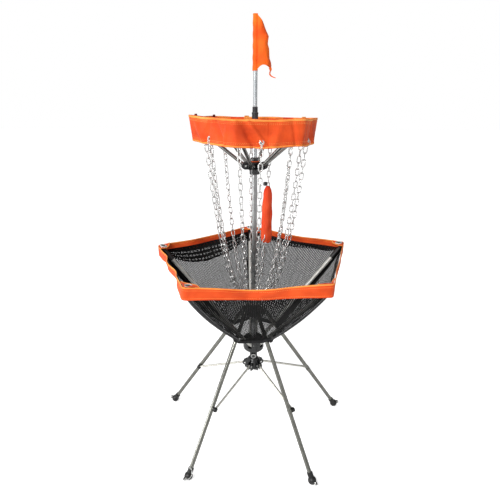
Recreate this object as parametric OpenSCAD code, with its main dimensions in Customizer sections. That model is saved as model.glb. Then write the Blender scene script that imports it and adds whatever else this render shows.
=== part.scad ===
// Portable disc golf basket. Millimetres, +Z up, the ground at z = 0, the pole on the Z axis.
// Front is -Y. Every arm, leg and strut moves in an upright plane that stands beside the pole axis.

/* [Stand] */
// Outside diameter of the main pole
pole_d = 20; // [18:1:24]
// Outside diameter of a leg tube
leg_d = 16; // [12:1:18]
// Outside diameter of a strut
strut_d = 9; // [6:1:10]
// Radius of the circle that the feet stand on
foot_circle_r = 400; // [360:5:440]
// Diameter of a ball foot
foot_d = 32; // [26:1:36]
// Height of the leg pivots on the crown
crown_z = 552; // [540:1:560]
// Radius of the circle of leg pivots
leg_pivot_r = 48; // [48:1:52]

/* [Basket] */
// Height of the top of the basket rim
rim_z = 800; // [780:5:820]
// Radius of the circle through the rim's corners
rim_corner_r = 408; // [400:2:420]
// Height of the rim band
rim_band_h = 42; // [30:1:50]
// Outside diameter of a basket arm
basket_arm_d = 15; // [12:1:16]

/* [Chain support] */
// Height of the top edge of the chain support band
band_top_z = 1316; // [1300:2:1330]
// Height of the chain support band
band_h = 90; // [70:2:100]
// Radius of the circle through the band's corners
band_corner_r = 237; // [225:1:250]
// Outside diameter of a top arm
top_arm_d = 13; // [10:1:14]

/* [Flag] */
// Outside diameter of the telescoping flag pole
flag_pole_d = 14; // [10:1:14]
// Outside diameter of the tube that it slides in
upper_pole_d = 17; // [16:1:17]
// Height of the tip of the flag pole
flag_tip_z = 1640; // [1600:5:1660]
// Height of the flag's sleeve
flag_sleeve_h = 172; // [150:2:200]

/* [Hidden] */
$fn = 48;
base_arms = 5;
top_arms = 6;
// Azimuths of the first leg, basket arm, rim corner and top arm, anticlockwise from +X
leg_az = 233.3;
basket_az = 235.2;
rim_az = 236.6;
top_az = 252.5;
// Sideways offsets of the planes that legs, struts and basket arms move in
leg_side = -10;
strut_side = 5;
basket_side = 10;
cap_length = 62;
wall = 1.2;
fit = 0.08;
gap = 0.3;
pin_r = 2;

// Pivots and ends as [distance from the pole axis, height]
leg_pivot = [leg_pivot_r, crown_z];
foot_centre = [foot_circle_r, foot_d / 2 - 0.8];
tie_eye = foot_centre + [19, 1];
tie_eye_r = 3.4;
ring_lean = -42;
stake_ring_r = 21;
strut_pivot = [34, 310];
strut_share = 0.594;
strut_end = leg_pivot + strut_share * (foot_centre - leg_pivot);
basket_pivot = [34, 415];
basket_tip = [rim_corner_r - 13, rim_z - 10];
top_pivot = [36, 1148];
top_tip = [band_corner_r - 12, band_top_z - 18];

// The two central hubs under the basket, and the crown above them
base_hub_z = [289, 331];
neck_top_z = 376;
button_z = 355;
button_bore_r = 8;
basket_hub_z = [378, 432];
basket_hub_r = 43;
basket_hub_edge_r = 14;
arm_slot_floor_z = 401;
crown_body_z = [541, 597];
chain_ring_z = 604;
chain_ring_r = 38;
top_hub_z = [1117, 1161];
top_slot_floor_z = 1125;
pole_top_z = 1178;
upper_pole_z = [1120, 1300];
clamp_z = [1262, 1334];
mesh_low_z = 465;
mesh_low_corner_r = 110;
mesh_top_z = rim_z - 22;
mesh_top_corner_r = rim_corner_r - 6;
leg_notch = 21;
chain_d = 5;
outer_chain_az = top_az + 24;

// ---- Shared shapes ----

// Places children in the upright plane of arm i: X outward, Y sideways, Z up
module arm_plane(i, az, count, side) {
    rotate([0, 0, az + i * 360 / count]) translate([0, side, 0]) children();
}

// Places children at a point of an arm plane, with +Z along the line from p to q
module along(p, q) {
    translate([p.x, 0, p.y]) rotate([0, atan2(q.x - p.x, q.y - p.y), 0]) children();
}

// A tube or, with no bore, a rod from p to q in an arm plane, drawn past each end
module rod(p, q, d, past_p = 0, past_q = 0, bore = 0) {
    along(p, q) translate([0, 0, -past_p]) difference() {
        cylinder(d = d, h = norm(q - p) + past_p + past_q);
        if (bore > 0) translate([0, 0, -1]) cylinder(d = bore, h = norm(q - p) + past_p + past_q + 2);
    }
}

// A pin across an arm plane at p, centred sideways
module cross_pin(p, r, length) {
    translate([p.x, length / 2, p.y]) rotate([90, 0, 0]) cylinder(r = r, h = length);
}

// A pivot pin with a low head at each end, over a stack of the given width
module rivet(p, stack) {
    cross_pin(p, pin_r, stack + 1);
    for (s = [-1, 1]) translate([p.x, s * (stack / 2 + gap + 0.8), p.y]) rotate([90, 0, 0])
        cylinder(r = 3.6, h = 1.6, center = true);
}

// Two cheeks either side of a slot, rounded about the pivot and joined to the hub's core
module ears(p, slot, thick, r, inner, low, high) {
    for (s = [-1, 1]) translate([0, s * (slot + thick) / 2, 0]) difference() {
        union() {
            translate([p.x, thick / 2, p.y]) rotate([90, 0, 0]) cylinder(r = r, h = thick);
            translate([inner, -thick / 2, p.y - low]) cube([p.x - inner, thick, low + high]);
        }
        cross_pin(p, pin_r + 0.05, thick + 2);
    }
}

// An open ring of steel wire lying flat
module wire_ring(r, wire_r) {
    rotate_extrude() translate([r, 0]) circle(r = wire_r, $fn = 24);
}

// ---- Pole ----

module main_pole() color("silver") difference() {
    translate([0, 0, base_hub_z[0] + 3]) cylinder(d = pole_d, h = pole_top_z - base_hub_z[0] - 3);
    translate([0, 0, base_hub_z[0]]) cylinder(d = pole_d - 2 * wall, h = pole_top_z);
}

module upper_pole() color("silver") difference() {
    union() {
        translate([0, 0, upper_pole_z[0]]) cylinder(d = upper_pole_d, h = upper_pole_z[1] - upper_pole_z[0]);
        translate([0, 0, upper_pole_z[0]])
            cylinder(d = pole_d - 2 * wall - 0.2, h = pole_top_z - upper_pole_z[0]);
    }
    translate([0, 0, upper_pole_z[0] - 1]) cylinder(d = flag_pole_d + 0.4, h = 200);
}

// ---- Hubs ----

// Lower hub: cheeks for the struts, a floor plate and the neck that carries the release button
module base_hub() color("#17181a") difference() {
    union() {
        translate([0, 0, base_hub_z[0]]) cylinder(r = 22, h = base_hub_z[1] - base_hub_z[0]);
        translate([0, 0, base_hub_z[0] + 36]) cylinder(r1 = 30, r2 = 20, h = 12);
        translate([0, 0, base_hub_z[1]]) cylinder(r = 15.5, h = neck_top_z - base_hub_z[1]);
        translate([0, -10, button_z]) rotate([90, 0, 0]) cylinder(r = 12, h = 8);
        for (i = [0 : base_arms - 1]) arm_plane(i, leg_az, base_arms, strut_side)
            ears(strut_pivot, strut_d + 2 * gap, 4, 11, 15, 21, 14);
    }
    for (i = [0 : base_arms - 1]) arm_plane(i, leg_az, base_arms, strut_side)
        translate([22, -strut_d / 2 - gap, base_hub_z[0] - 1]) cube([40, strut_d + 2 * gap, 60]);
    translate([0, -9, button_z]) rotate([90, 0, 0]) cylinder(r = button_bore_r, h = 14);
    translate([0, 0, base_hub_z[0] - 1]) cylinder(d = pole_d + 0.1, h = 100);
}

// Bowl-shaped hub that the basket arms stand in
module basket_hub() color("#1b1d1c") difference() {
    height = basket_hub_z[1] - basket_hub_z[0];
    translate([0, 0, basket_hub_z[0]]) rotate_extrude() difference() {
        union() {
            square([basket_hub_r - basket_hub_edge_r, height]);
            translate([0, basket_hub_edge_r]) square([basket_hub_r, height - basket_hub_edge_r]);
            translate([basket_hub_r - basket_hub_edge_r, basket_hub_edge_r]) circle(r = basket_hub_edge_r);
        }
        square([pole_d / 2 + 0.05, height + 20]);
    }
    for (i = [0 : base_arms - 1]) arm_plane(i, basket_az, base_arms, basket_side) {
        translate([21, -basket_arm_d / 2 - gap, arm_slot_floor_z]) cube([40, basket_arm_d + 2 * gap, 60]);
        cross_pin(basket_pivot, pin_r + 0.05, 60);
    }
}

// Sliding crown that the legs hang from
module crown() color("#202124") difference() {
    union() {
        translate([0, 0, crown_body_z[0]]) cylinder(r = 20, h = crown_body_z[1] - crown_body_z[0]);
        translate([0, 0, crown_body_z[0] + 2]) cylinder(r = 33, h = 22);
        translate([0, 0, crown_body_z[1] - 8]) cylinder(r = 34, h = 6);
        for (i = [0 : base_arms - 1]) arm_plane(i, leg_az, base_arms, leg_side)
            ears(leg_pivot, leg_d + 2 * gap, 2.4, 9.5, 22, 8, 12);
    }
    for (i = [0 : base_arms - 1]) arm_plane(i, leg_az, base_arms, leg_side)
        translate([35, -leg_d / 2 - gap, crown_body_z[0] - 9]) cube([40, leg_d + 2 * gap, 40]);
    translate([0, 0, crown_body_z[0] - 1]) cylinder(d = pole_d + 2 * fit, h = 80);
}

// Sliding top hub that the chain support arms are hinged to, with a collar for the pull loop
module top_hub() color("#17181a") difference() {
    union() {
        translate([0, 0, top_hub_z[0]]) cylinder(r = 19, h = top_hub_z[1] - top_hub_z[0]);
        translate([0, 0, top_hub_z[1]]) cylinder(r = 12, h = 11);
        translate([0, 0, top_hub_z[1] + 11]) cylinder(r = 15, h = 4.5);
        for (i = [0 : top_arms - 1]) arm_plane(i, top_az, top_arms, 0)
            ears(top_pivot, top_arm_d + 2 * gap, 2.6, 13, 12, 13, 8);
    }
    for (i = [0 : top_arms - 1]) arm_plane(i, top_az, top_arms, 0)
        translate([25.5, -top_arm_d / 2 - gap, top_slot_floor_z]) cube([40, top_arm_d + 2 * gap, 60]);
    translate([0, 0, top_hub_z[0] - 1]) cylinder(d = pole_d + 2 * fit, h = 80);
}

module hub_rivets() color("gainsboro") {
    for (i = [0 : base_arms - 1]) {
        arm_plane(i, leg_az, base_arms, strut_side) rivet(strut_pivot, strut_d + 8 + 2 * gap);
        arm_plane(i, basket_az, base_arms, basket_side) cross_pin(basket_pivot, pin_r, 30);
    }
}

module crown_rivets() color("gainsboro") {
    for (i = [0 : base_arms - 1]) arm_plane(i, leg_az, base_arms, leg_side)
        rivet(leg_pivot, leg_d + 4.8 + 2 * gap);
}

module top_hub_rivets() color("gainsboro") {
    for (i = [0 : top_arms - 1]) arm_plane(i, top_az, top_arms, 0)
        rivet(top_pivot, top_arm_d + 5.2 + 2 * gap);
}

// Spring button that locks the neck to the pole
module release_button() color("gainsboro") difference() {
    union() {
        translate([0, -14, button_z]) rotate([90, 0, 0]) cylinder(r = button_bore_r - 0.1, h = 8);
        translate([0, -22, button_z]) rotate([90, 0, 0]) cylinder(r = 10.5, h = 2.5);
    }
    translate([0, -22.5, button_z]) rotate([90, 0, 0]) cylinder(r = 6.5, h = 3);
}

// Pull loop that frees the top hub
module release_loop() color("orangered") translate([0, 0, top_hub_z[1] + 2.2]) wire_ring(14.4, 1.9);

// ---- Stand ----

module leg(i) color("#8e8d84") arm_plane(i, leg_az, base_arms, leg_side) difference() {
    rod(leg_pivot, foot_centre, leg_d, past_p = 9, past_q = -8, bore = leg_d - 2 * wall);
    cross_pin(leg_pivot, pin_r + fit, leg_d + 4);
}

// Ball foot with a socket for the leg and an upright lug with a tie eye
module foot(i) color("#121212") arm_plane(i, leg_az, base_arms, leg_side) difference() {
    union() {
        translate([foot_centre.x, 0, foot_centre.y]) sphere(d = foot_d);
        along(foot_centre, leg_pivot) cylinder(r = leg_d / 2 + 3, h = 30);
        translate([foot_centre.x, -3, tie_eye.y - 7]) cube([tie_eye.x - foot_centre.x, 6, 14]);
        cross_pin(tie_eye, 7, 6);
    }
    translate([foot_centre.x - 40, -40, -40]) cube([80, 80, 40]);
    along(foot_centre, leg_pivot) translate([0, 0, 7.7]) cylinder(d = leg_d + 0.1, h = 40);
    cross_pin(tie_eye, tie_eye_r, 20);
}

// Clip round the leg with a boss that the strut swings beside
clip_length = 12;
boss_r = 6;
module leg_clip(i) color("#161616") arm_plane(i, leg_az, base_arms, leg_side) difference() {
    union() {
        along(strut_end, foot_centre) translate([0, 0, -clip_length / 2])
            cylinder(d = leg_d + 2 * wall, h = clip_length);
        translate([strut_end.x, 9.8, strut_end.y]) rotate([90, 0, 0]) cylinder(r = boss_r, h = 5);
    }
    along(strut_end, foot_centre) translate([0, 0, -30]) cylinder(d = leg_d + 0.1, h = 60);
}

// Rod with a round eye at each end and a rivet head on the outer side of its far eye
module strut(i) color("#a9a79d") arm_plane(i, leg_az, base_arms, strut_side) difference() {
    union() {
        rod(strut_pivot, strut_end, strut_d);
        cross_pin(strut_pivot, strut_d / 2 + 0.8, strut_d + 0.2);
        cross_pin(strut_end, strut_d / 2 + 0.8, strut_d + 0.2);
        translate([0, 0.8, 0]) cross_pin(strut_end, 3.4, strut_d + 1.8);
    }
    cross_pin(strut_pivot, pin_r + fit, strut_d + 4);
}

// ---- Basket ----

module basket_arm(i) color("#8f8f89") arm_plane(i, basket_az, base_arms, basket_side) difference() {
    rod(basket_pivot, basket_tip, basket_arm_d, past_p = 8, past_q = -18, bore = basket_arm_d - 2 * wall);
    cross_pin(basket_pivot, pin_r + fit, basket_arm_d + 4);
}

// Black sleeve over the outer end of a basket arm
module arm_cap(i) color("#101010") arm_plane(i, basket_az, base_arms, basket_side) difference() {
    along(basket_tip, basket_pivot) union() {
        cylinder(d = basket_arm_d + 3, h = cap_length);
        sphere(d = basket_arm_d + 3);
    }
    along(basket_tip, basket_pivot) translate([0, 0, 17.5]) cylinder(d = basket_arm_d + 0.1, h = 80);
}

module rim_band() color("orangered") rotate([0, 0, rim_az]) difference() {
    translate([0, 0, rim_z - rim_band_h]) cylinder(r = rim_corner_r + 3, h = rim_band_h, $fn = base_arms);
    translate([0, 0, rim_z - rim_band_h - 1])
        cylinder(r = rim_corner_r + 0.5, h = rim_band_h + 2, $fn = base_arms);
}

// Five-sided mesh funnel, open below, with a notch for each leg to pass and swing through
module basket_mesh() color("#2a2b2d") difference() {
    rotate([0, 0, rim_az]) difference() {
        mesh_funnel(2.6, 0);
        mesh_funnel(0, 1);
    }
    for (i = [0 : base_arms - 1]) arm_plane(i, leg_az, base_arms, leg_side)
        translate([60, -leg_notch / 2, mesh_low_z - 10]) cube([61, leg_notch, 50]);
}

// Solid funnel grown outward by wall_r and drawn past both its ends
module mesh_funnel(wall_r, past) {
    slope = (mesh_top_corner_r - mesh_low_corner_r) / (mesh_top_z - mesh_low_z);
    translate([0, 0, mesh_low_z - past]) cylinder(
        r1 = mesh_low_corner_r + wall_r - past * slope,
        r2 = mesh_top_corner_r + wall_r + past * slope,
        h = mesh_top_z - mesh_low_z + 2 * past,
        $fn = base_arms
    );
}

// ---- Chain support and flag ----

module top_arm(i) color("#8f8f89") arm_plane(i, top_az, top_arms, 0) difference() {
    union() {
        rod(top_pivot, top_tip, top_arm_d, past_p = 5, bore = top_arm_d - 2 * wall);
        along(top_pivot, top_tip) translate([0, 0, norm(top_tip - top_pivot) - 12])
            cylinder(d = top_arm_d - 0.2, h = 14);
    }
    cross_pin(top_pivot, pin_r + fit, top_arm_d + 4);
}

module top_band() color("orangered") rotate([0, 0, top_az]) difference() {
    translate([0, 0, band_top_z - band_h])
        cylinder(r1 = band_corner_r - 8, r2 = band_corner_r + 2, h = band_h, $fn = top_arms);
    translate([0, 0, band_top_z - band_h - 1])
        cylinder(r1 = band_corner_r - 10.6, r2 = band_corner_r - 0.4, h = band_h + 2, $fn = top_arms);
}

// Lower half of the flag pole clamp, fixed on the upper pole
module clamp_base() color("#1a1b1d") difference() {
    union() {
        translate([0, 0, clamp_z[0]]) cylinder(r = 11, h = clamp_z[1] - clamp_z[0]);
        translate([0, 0, clamp_z[1] - 6]) cylinder(r = 11.8, h = 5);
    }
    translate([0, 0, clamp_z[0] - 1])
        cylinder(d = upper_pole_d + 0.1, h = upper_pole_z[1] - clamp_z[0] + 1.2);
    translate([0, 0, clamp_z[0]]) cylinder(d = flag_pole_d + 0.12, h = 100);
}

// Fluted nut that twists to grip the flag pole
nut_r = 9.4;
nut_h = 18;
module clamp_nut() color("#26282b") translate([0, 0, clamp_z[1] + gap]) difference() {
    cylinder(r = nut_r, h = nut_h);
    for (a = [0 : 30 : 330]) rotate([0, 0, a]) translate([nut_r + 0.9, 0, 3]) cylinder(r = 1.5, h = nut_h);
    translate([0, 0, -1]) cylinder(d = flag_pole_d + 0.12, h = nut_h + 2);
}

module flag_pole() color("#b9bcc0") difference() {
    translate([0, 0, pole_top_z + 4]) cylinder(d = flag_pole_d, h = flag_tip_z - pole_top_z - 4);
    translate([0, 0, pole_top_z]) cylinder(d = flag_pole_d - 1.6, h = flag_tip_z - pole_top_z - 3);
}

// Pennant that hangs from a sleeve over the top of the flag pole
module flag() color("orangered") {
    difference() {
        translate([0, 0, flag_tip_z - flag_sleeve_h]) cylinder(d = flag_pole_d + 5, h = flag_sleeve_h + 3);
        translate([0, 0, flag_tip_z - flag_sleeve_h - 1])
            cylinder(d = flag_pole_d + 0.2, h = flag_sleeve_h + 1.5);
    }
    translate([flag_pole_d / 2 + 1, 1.5, flag_tip_z]) rotate([90, 0, 0]) linear_extrude(3)
        polygon([[0, 0], [10, 0], [46, -70], [50, -170], [66, -198], [56, -202], [38, -190], [0, -170]]);
}

// ---- Chains and pouch ----

// Point of a hanging chain at share t of its way down, as [distance from the pole axis, height]
function chain_point(top, t) =
    let (low = [chain_ring_r + 7, chain_ring_z + 3], knee = [0.66 * top.x, low.y + 110])
    (1 - t) * (1 - t) * top + 2 * t * (1 - t) * knee + t * t * low;

// Outline of a hanging chain: down one side and back up the other
function chain_side(top, side, steps = 16) =
    [for (k = [0 : steps])
        let (t = k / steps,
            p = chain_point(top, t),
            q = chain_point(top, t + 0.01),
            n = [p.y - q.y, q.x - p.x] / norm(q - p))
        p + side * chain_d / 2 * n];
function reversed(list) = [for (k = [len(list) - 1 : -1 : 0]) list[k]];

// A chain as a bent bar that weighs as much as its links
module chain(top) {
    rotate([90, 0, 0]) linear_extrude(chain_d * 0.8, center = true)
        polygon(concat(chain_side(top, 1), reversed(chain_side(top, -1))));
}

outer_chain_top = [band_corner_r * cos(30) - 10, band_top_z - band_h + 14];
inner_chain_top = [178, 1248];

module chains_outer() color("lightgray") for (i = [0 : top_arms - 1])
    arm_plane(i, outer_chain_az, top_arms, 0) chain(outer_chain_top);

module chains_inner() color("lightgray") for (i = [0 : top_arms - 1])
    arm_plane(i, top_az, top_arms, 0) chain(inner_chain_top);

module chain_ring() color("lightgray") translate([0, 0, chain_ring_z]) wire_ring(chain_ring_r, 2);

// Drawstring pouch tied round one of the inner chains, and its cord lock
pouch_arm = 3;
pouch_side = -6;
pouch_top = [151, 1050];
pouch_low = [136, 812];
pouch_r = 21;
toggle_side = 12;
toggle_r = 9;
module pouch() color("#e8411c") arm_plane(pouch_arm, top_az, top_arms, pouch_side) along(pouch_low, pouch_top) {
    length = norm(pouch_top - pouch_low);
    translate([0, 0, pouch_r]) cylinder(r1 = pouch_r, r2 = 0.8 * pouch_r, h = length - pouch_r - 10);
    translate([0, 0, pouch_r]) sphere(r = pouch_r);
    translate([0, 0, length - 10]) cylinder(r1 = 0.8 * pouch_r, r2 = 8, h = 14);
}

module pouch_toggle() color("#101010") arm_plane(pouch_arm, top_az, top_arms, toggle_side)
    translate([pouch_top.x, 0, pouch_top.y + 6]) cylinder(r = toggle_r, h = 16);

// Split ring through the tie eye of the first foot, leaning against the leg
module stake_ring() color("silver") arm_plane(0, leg_az, base_arms, leg_side)
    translate([tie_eye.x, 0, tie_eye.y]) rotate([0, ring_lean, 0]) translate([0, 0, stake_ring_r])
    rotate([0, 90, 0]) wire_ring(stake_ring_r, 0.9);

// ---- Numbered sub-parts ----

module leg_1() leg(0);
module leg_2() leg(1);
module leg_3() leg(2);
module leg_4() leg(3);
module leg_5() leg(4);
module foot_1() foot(0);
module foot_2() foot(1);
module foot_3() foot(2);
module foot_4() foot(3);
module foot_5() foot(4);
module leg_clip_1() leg_clip(0);
module leg_clip_2() leg_clip(1);
module leg_clip_3() leg_clip(2);
module leg_clip_4() leg_clip(3);
module leg_clip_5() leg_clip(4);
module strut_1() strut(0);
module strut_2() strut(1);
module strut_3() strut(2);
module strut_4() strut(3);
module strut_5() strut(4);
module basket_arm_1() basket_arm(0);
module basket_arm_2() basket_arm(1);
module basket_arm_3() basket_arm(2);
module basket_arm_4() basket_arm(3);
module basket_arm_5() basket_arm(4);
module arm_cap_1() arm_cap(0);
module arm_cap_2() arm_cap(1);
module arm_cap_3() arm_cap(2);
module arm_cap_4() arm_cap(3);
module arm_cap_5() arm_cap(4);
module top_arm_1() top_arm(0);
module top_arm_2() top_arm(1);
module top_arm_3() top_arm(2);
module top_arm_4() top_arm(3);
module top_arm_5() top_arm(4);
module top_arm_6() top_arm(5);

main_pole();
upper_pole();
base_hub();
basket_hub();
crown();
top_hub();
hub_rivets();
crown_rivets();
top_hub_rivets();
release_button();
release_loop();
leg_1();
leg_2();
leg_3();
leg_4();
leg_5();
foot_1();
foot_2();
foot_3();
foot_4();
foot_5();
leg_clip_1();
leg_clip_2();
leg_clip_3();
leg_clip_4();
leg_clip_5();
strut_1();
strut_2();
strut_3();
strut_4();
strut_5();
basket_arm_1();
basket_arm_2();
basket_arm_3();
basket_arm_4();
basket_arm_5();
arm_cap_1();
arm_cap_2();
arm_cap_3();
arm_cap_4();
arm_cap_5();
top_arm_1();
top_arm_2();
top_arm_3();
top_arm_4();
top_arm_5();
top_arm_6();
clamp_base();
clamp_nut();
flag_pole();
flag();
top_band();
rim_band();
basket_mesh();
pouch();
pouch_toggle();
chain_ring();
chains_outer();
chains_inner();
stake_ring();
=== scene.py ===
"""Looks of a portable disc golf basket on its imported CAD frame. Metres, +Z up, front -Y."""

import math
import random

import bpy
import numpy as np
from mathutils import Matrix, Vector


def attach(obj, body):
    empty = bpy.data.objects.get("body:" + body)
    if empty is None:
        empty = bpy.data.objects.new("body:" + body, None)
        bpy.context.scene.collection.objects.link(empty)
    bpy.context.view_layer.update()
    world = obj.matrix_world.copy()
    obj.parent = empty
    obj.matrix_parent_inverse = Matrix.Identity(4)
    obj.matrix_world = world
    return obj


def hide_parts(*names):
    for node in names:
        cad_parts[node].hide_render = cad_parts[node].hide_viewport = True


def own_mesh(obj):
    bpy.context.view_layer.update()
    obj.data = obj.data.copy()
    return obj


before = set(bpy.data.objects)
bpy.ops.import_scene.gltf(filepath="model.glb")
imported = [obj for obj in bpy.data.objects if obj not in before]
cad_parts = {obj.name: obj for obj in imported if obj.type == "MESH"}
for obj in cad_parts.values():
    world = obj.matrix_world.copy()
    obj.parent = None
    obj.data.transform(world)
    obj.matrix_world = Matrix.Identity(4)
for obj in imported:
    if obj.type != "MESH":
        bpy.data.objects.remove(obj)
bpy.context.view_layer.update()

# ---- Dimensions, as in the CAD source ----
BASE_ARMS, TOP_ARMS = 5, 6
BASE_STEP, TOP_STEP = 360 / BASE_ARMS, 360 / TOP_ARMS
# Azimuths in degrees of the first leg, basket arm, rim corner, top arm and outer chain
LEG_AZ, BASKET_AZ, RIM_AZ, TOP_AZ, OUTER_CHAIN_AZ = 233.3, 235.2, 236.6, 252.5, 276.5
LEG_SIDE, STRUT_SIDE = -0.010, 0.005
STRUT_END = (0.2571, 0.2331)  # the strut's pivot at the leg: distance out, height
TOE_EYE = (0.419, 0.0162)
BUTTON_FACE = (0, -0.0226, 0.355)
RIM_TOP, RIM_HEIGHT, RIM_CORNER_R = 0.800, 0.042, 0.4105
MESH_LOW_Z, MESH_LOW_R, MESH_TOP_Z = 0.465, 0.1115, 0.776
BAND_TOP, BAND_HEIGHT = 1.316, 0.090
BAND_TOP_R, BAND_LOW_R = 0.2385, 0.2275
FLAG_TIP_Z, FLAG_LOW_Z, FLAG_SLEEVE_H = 1.640, 1.4745, 0.172


def radial(azimuth_deg):
    a = math.radians(azimuth_deg)
    return Vector((math.cos(a), math.sin(a), 0))


def sideways(azimuth_deg):
    return radial(azimuth_deg + 90)


def in_plane(azimuth_deg, x, z, side=0.0):
    """A point of an arm's upright plane: x outward, z up, side across it."""
    return radial(azimuth_deg) * x + sideways(azimuth_deg) * side + Vector((0, 0, z))


# ---- Camera and lights ----
def aim_camera(location, down, turn, roll, focal_share):
    """down, turn and roll in radians; focal_share is the focal length over the image's width."""
    camera = bpy.data.objects.new("camera", bpy.data.cameras.new("camera"))
    bpy.context.collection.objects.link(camera)
    bpy.context.scene.camera = camera
    camera.data.sensor_width = 36
    camera.data.lens = 36 * focal_share
    camera.data.clip_start, camera.data.clip_end = 0.05, 100
    forward = Vector((math.sin(turn) * math.cos(down), math.cos(turn) * math.cos(down), -math.sin(down)))
    level = Vector((math.cos(turn), -math.sin(turn), 0))
    upright = level.cross(forward)
    right = math.cos(roll) * level - math.sin(roll) * upright
    up = math.sin(roll) * level + math.cos(roll) * upright
    camera.matrix_world = Matrix.Translation(location) @ Matrix((right, up, -forward)).transposed().to_4x4()


def area_light(name, place, target, power, size):
    data = bpy.data.lights.new(name, "AREA")
    data.energy, data.size = power, size
    light = bpy.data.objects.new(name, data)
    bpy.context.collection.objects.link(light)
    light.location = place
    light.rotation_euler = (Vector(target) - Vector(place)).to_track_quat("-Z", "Y").to_euler()


CAMERA_PLACE = Vector((-0.0123, -1.5451, 1.338))
aim_camera(CAMERA_PLACE, down=0.3232, turn=-0.0025, roll=-0.0037, focal_share=0.82992)
bpy.context.scene.view_settings.view_transform = "Standard"


# ---- Materials ----
class Shader:
    """A material's node tree with short calls for the nodes that this scene uses."""

    def __init__(self, name, **constants):
        self.material = bpy.data.materials.new(name)
        self.material.use_nodes = True
        self.tree = self.material.node_tree
        self.bsdf = self.tree.nodes["Principled BSDF"]
        for socket, value in constants.items():
            self.bsdf.inputs[socket.replace("_", " ")].default_value = value
        self.place = self.add("ShaderNodeTexCoord").outputs["Object"]

    def add(self, kind, inputs=None, **properties):
        node = self.tree.nodes.new(kind)
        for key, value in properties.items():
            setattr(node, key, value)
        for key, value in (inputs or {}).items():
            if isinstance(value, bpy.types.NodeSocket):
                self.tree.links.new(value, node.inputs[key])
            else:
                node.inputs[key].default_value = value
        return node

    def noise(self, scale, detail=3.0, stretch=(1, 1, 1)):
        mapped = self.add("ShaderNodeMapping", {"Vector": self.place, "Scale": stretch})
        inputs = {"Vector": mapped.outputs[0], "Scale": scale, "Detail": detail}
        return self.add("ShaderNodeTexNoise", inputs).outputs["Fac"]

    def math(self, operation, a, b=0.0):
        return self.add("ShaderNodeMath", {0: a, 1: b}, operation=operation).outputs[0]

    def ramp(self, factor, *stops):
        """stops are (position, grey or colour)."""
        node = self.add("ShaderNodeValToRGB", {"Fac": factor})
        ramp = node.color_ramp
        while len(ramp.elements) < len(stops):
            ramp.elements.new(0.5)
        for element, (position, colour) in zip(ramp.elements, stops):
            element.position = position
            element.color = (*colour, 1) if isinstance(colour, tuple) else (colour, colour, colour, 1)
        return node.outputs["Color"]

    def colour(self, socket):
        self.tree.links.new(socket, self.bsdf.inputs["Base Color"])

    def roughness(self, socket):
        self.tree.links.new(socket, self.bsdf.inputs["Roughness"])

    def alpha(self, socket):
        self.tree.links.new(socket, self.bsdf.inputs["Alpha"])

    def bump(self, height, depth, strength=1.0):
        """depth is in metres. Later bumps lie on top of earlier ones."""
        inputs = {"Height": height, "Distance": depth, "Strength": strength}
        normal = self.bsdf.inputs["Normal"]
        if normal.is_linked:
            inputs["Normal"] = normal.links[0].from_socket
        self.tree.links.new(self.add("ShaderNodeBump", inputs).outputs[0], normal)


def metal(name, dark, light, rough, grain=60.0, wear=0.2, metallic=1.0):
    s = Shader(name, Metallic=metallic)
    s.colour(s.ramp(s.noise(grain, 4), (0.3, dark), (0.7, light)))
    s.roughness(s.ramp(s.noise(grain * 6, 2), (0.3, rough), (0.75, rough + wear)))
    s.bump(s.noise(900, 2), 0.0002, 0.25)
    return s.material


def plastic(name, dark, light, rough, grain=900.0, depth=0.00012, coat=0.0):
    s = Shader(name, Coat_Weight=coat, Coat_Roughness=0.15)
    s.colour(s.ramp(s.noise(35, 5), (0.35, dark), (0.7, light)))
    s.roughness(s.ramp(s.noise(140, 4), (0.3, rough), (0.75, rough + 0.16)))
    s.bump(s.noise(grain, 2), depth, 0.6)
    return s.material


def weave(s, pitch):
    """Height of a plain weave from the sheet's own UV, which is in metres."""
    uv = s.add("ShaderNodeUVMap").outputs[0]
    split = s.add("ShaderNodeSeparateXYZ", {0: uv})
    waves = [s.math("SINE", s.math("MULTIPLY", split.outputs[k], 2 * math.pi / pitch)) for k in (0, 1)]
    return s.math("MULTIPLY", *waves)


def cloth(name, shadow, base, lit, pitch=0.0013, sheen=0.08):
    s = Shader(name, Sheen_Weight=sheen, Sheen_Roughness=0.4, Specular_IOR_Level=0.25)
    threads = weave(s, pitch)
    faded = s.noise(9, 4, stretch=(1, 1, 1.8))
    s.colour(s.ramp(faded, (0.32, shadow), (0.5, base), (0.68, lit)))
    s.roughness(s.ramp(s.noise(70, 3), (0.3, 0.58), (0.7, 0.76)))
    s.bump(s.noise(26, 3, stretch=(1, 1, 0.6)), 0.004, 0.5)
    s.bump(s.noise(120, 2), 0.0006, 0.4)
    s.bump(threads, 0.00018, 0.6)
    return s.material


def see_through_mesh(name, pitch, hole_level):
    """Knitted mesh: the alpha cuts a diagonal lattice of round holes where the weave is past hole_level."""
    s = Shader(name, Roughness=0.7, Specular_IOR_Level=0.06)
    threads = weave(s, pitch)
    s.colour(s.ramp(s.noise(5, 3), (0.35, 0.003), (0.65, 0.014)))
    s.alpha(s.math("LESS_THAN", s.math("ABSOLUTE", threads), hole_level))
    s.bump(threads, 0.0004, 0.8)
    return s.material


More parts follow.
